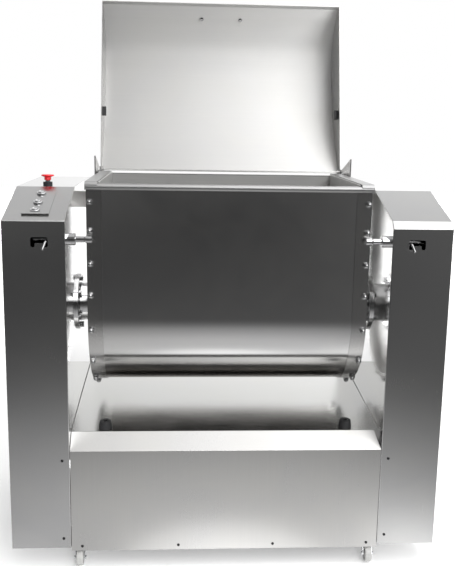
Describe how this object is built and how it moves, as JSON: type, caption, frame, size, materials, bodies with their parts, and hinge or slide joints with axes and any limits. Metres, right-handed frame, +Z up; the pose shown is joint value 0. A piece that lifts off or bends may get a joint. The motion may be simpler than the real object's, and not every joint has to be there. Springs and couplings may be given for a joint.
{
  "type": "dough mixer",
  "caption": "Horizontal dough mixer: a U-shaped tilting trough with a hinged vaulted lid between two drive cabinets, turned by a barred agitator, on a castored base.",
  "frame": {"origin": "on the floor, under the middle of the machine's bounding box with the lid open", "axes": "+X to the right seen from the front, +Y to the back, +Z up; the operator stands at -Y"},
  "size_m": [1.3, 0.8635, 1.7591],
  "materials": {
    "cabinet_steel": "brushed upright, satin",
    "panel_steel": "brushed along its length, satin",
    "frame_steel": "mill finish",
    "tank_steel": "fine matt brushed",
    "lid_steel": "fine matt brushed",
    "machined_steel": "turned, bright",
    "fastener_steel": "bright stainless",
    "polished_steel": "polished",
    "carbon_steel": "oiled steel",
    "bronze": "machined bronze",
    "black_rubber": "matt black rubber",
    "gearbox_paint": "cast, painted grey",
    "motor_paint": "painted blue-grey",
    "box_plastic": "moulded light grey",
    "black_plastic": "moulded black",
    "red_plastic": "glossy red",
    "castor_zinc": "bright zinc plate",
    "wheel_plastic": "pale moulded polyurethane"
  },
  "bodies": {
    "root": {"left_cabinet_shell": "cabinet_steel", "right_cabinet_shell": "cabinet_steel", "cabinet_covers": "cabinet_steel", "control_plate": "cabinet_steel", "base_front_panel": "panel_steel", "floor_panel": "panel_steel", "rear_panel": "panel_steel", "rear_rail": "panel_steel", "cabinet_frames": "frame_steel", "base_frame": "frame_steel", "bearing_housings": "machined_steel", "lock_sleeves": "machined_steel", "panel_screws": "fastener_steel", "housing_bolts": "fastener_steel", "button_bezels": "polished_steel", "drive_chain": "carbon_steel", "trunnion_bushes": "bronze", "tank_buffers": "black_rubber", "gearbox": "gearbox_paint", "motor": "motor_paint", "electrical_box": "box_plastic", "switch_blocks": "black_plastic", "cable_gland": "black_plastic"},
    "tank": {"tank_shell": "tank_steel", "end_bands": "tank_steel", "tank_ends": "tank_steel", "tank_rim": "tank_steel", "tank_bolts": "fastener_steel", "trunnions": "machined_steel", "shaft_bushes": "bronze", "shaft_seals": "black_rubber", "lock_keepers": "machined_steel", "hinge_ears": "tank_steel", "hinge_pins": "machined_steel"},
    "lid": {"lid_vault": "lid_steel", "lid_ends": "lid_steel", "lid_rests": "black_rubber", "lid_handle": "machined_steel"},
    "agitator": {"agitator_shafts": "machined_steel", "spiders": "machined_steel", "mixing_bars": "machined_steel", "driven_sprocket": "carbon_steel"},
    "gearbox_output": {"drive_sprocket": "carbon_steel"},
    "lock_pin_left": {"lock_pin_left": "machined_steel"},
    "lock_handle_left": {"lock_handle_left": "machined_steel"},
    "lock_pin_right": {"lock_pin_right": "machined_steel"},
    "lock_handle_right": {"lock_handle_right": "machined_steel"},
    "button_forward": {"button_forward": "polished_steel"},
    "button_reverse": {"button_reverse": "polished_steel"},
    "button_stop": {"button_stop": "polished_steel"},
    "estop_stem": {"estop_stem": "machined_steel"},
    "estop_head": {"estop_head": "red_plastic"},
    "castor_fork_front_left": {"castor_fork_front_left": "castor_zinc"},
    "castor_wheel_front_left": {"castor_wheel_front_left": "wheel_plastic"},
    "castor_fork_front_right": {"castor_fork_front_right": "castor_zinc"},
    "castor_wheel_front_right": {"castor_wheel_front_right": "wheel_plastic"},
    "castor_fork_rear_left": {"castor_fork_rear_left": "castor_zinc"},
    "castor_wheel_rear_left": {"castor_wheel_rear_left": "wheel_plastic"},
    "castor_fork_rear_right": {"castor_fork_rear_right": "castor_zinc"},
    "castor_wheel_rear_right": {"castor_wheel_rear_right": "wheel_plastic"}
  },
  "joints": [
    {"name": "tank_tilt", "type": "hinge", "parent": "root", "child": "tank", "pos_m": [0, -0.10712, 0.769], "axis": [1, 0, 0], "range_deg": [0, 103.5]},
    {"name": "lid_hinge", "type": "hinge", "parent": "tank", "child": "lid", "pos_m": [0, 0.19888, 1.172], "axis": [1, 0, 0], "range_deg": [0, 103.65]},
    {"name": "agitator_spin", "type": "hinge", "parent": "root", "child": "agitator", "pos_m": [0, -0.10712, 0.769], "axis": [1, 0, 0], "continuous": true},
    {"name": "gearbox_output_spin", "type": "hinge", "parent": "root", "child": "gearbox_output", "pos_m": [0, -0.10712, 0.265], "axis": [1, 0, 0], "continuous": true},
    {"name": "lock_slide_left", "type": "slide", "parent": "root", "child": "lock_pin_left", "axis": [-1, 0, 0], "range_m": [0, 0.037]},
    {"name": "lock_turn_left", "type": "hinge", "parent": "lock_pin_left", "child": "lock_handle_left", "pos_m": [-0.526, -0.37112, 1.008], "axis": [1, 0, 0], "range_deg": [0, 16]},
    {"name": "lock_slide_right", "type": "slide", "parent": "root", "child": "lock_pin_right", "axis": [1, 0, 0], "range_m": [0, 0.037]},
    {"name": "lock_turn_right", "type": "hinge", "parent": "lock_pin_right", "child": "lock_handle_right", "pos_m": [0.526, -0.37112, 1.008], "axis": [1, 0, 0], "range_deg": [0, 16]},
    {"name": "button_forward_push", "type": "slide", "parent": "root", "child": "button_forward", "axis": [0, 0.2954, -0.9554], "range_m": [0, 0.003], "stiffness_N_per_m": 1200, "springref_m": -0.0015},
    {"name": "button_reverse_push", "type": "slide", "parent": "root", "child": "button_reverse", "axis": [0, 0.2954, -0.9554], "range_m": [0, 0.003], "stiffness_N_per_m": 1200, "springref_m": -0.0015},
    {"name": "button_stop_push", "type": "slide", "parent": "root", "child": "button_stop", "axis": [0, 0.2954, -0.9554], "range_m": [0, 0.003], "stiffness_N_per_m": 1200, "springref_m": -0.0015},
    {"name": "estop_push", "type": "slide", "parent": "root", "child": "estop_stem", "axis": [0, 0, -1], "range_m": [0, 0.005], "stiffness_N_per_m": 2500, "springref_m": -0.002},
    {"name": "estop_twist", "type": "hinge", "parent": "estop_stem", "child": "estop_head", "pos_m": [-0.5595, -0.12212, 1.165], "axis": [0, 0, 1], "range_deg": [0, 45], "stiffness_Nm_per_rad": 0.08},
    {"name": "castor_swivel_front_left", "type": "hinge", "parent": "root", "child": "castor_fork_front_left", "pos_m": [-0.446, -0.37512, 0.058], "axis": [0, 0, 1], "continuous": true},
    {"name": "castor_roll_front_left", "type": "hinge", "parent": "castor_fork_front_left", "child": "castor_wheel_front_left", "pos_m": [-0.446, -0.39512, 0.025], "axis": [1, 0, 0], "continuous": true},
    {"name": "castor_swivel_front_right", "type": "hinge", "parent": "root", "child": "castor_fork_front_right", "pos_m": [0.446, -0.37512, 0.058], "axis": [0, 0, 1], "continuous": true},
    {"name": "castor_roll_front_right", "type": "hinge", "parent": "castor_fork_front_right", "child": "castor_wheel_front_right", "pos_m": [0.446, -0.39512, 0.025], "axis": [1, 0, 0], "continuous": true},
    {"name": "castor_swivel_rear_left", "type": "hinge", "parent": "root", "child": "castor_fork_rear_left", "pos_m": [-0.446, 0.26888, 0.058], "axis": [0, 0, 1], "continuous": true},
    {"name": "castor_roll_rear_left", "type": "hinge", "parent": "castor_fork_rear_left", "child": "castor_wheel_rear_left", "pos_m": [-0.446, 0.24888, 0.025], "axis": [1, 0, 0], "continuous": true},
    {"name": "castor_swivel_rear_right", "type": "hinge", "parent": "root", "child": "castor_fork_rear_right", "pos_m": [0.446, 0.26888, 0.058], "axis": [0, 0, 1], "continuous": true},
    {"name": "castor_roll_rear_right", "type": "hinge", "parent": "castor_fork_rear_right", "child": "castor_wheel_rear_right", "pos_m": [0.446, 0.24888, 0.025], "axis": [1, 0, 0], "continuous": true}
  ],
  "couplings": [
    {"joint": "gearbox_output_spin", "follows": "agitator_spin", "ratio": 2.7647}
  ]
}
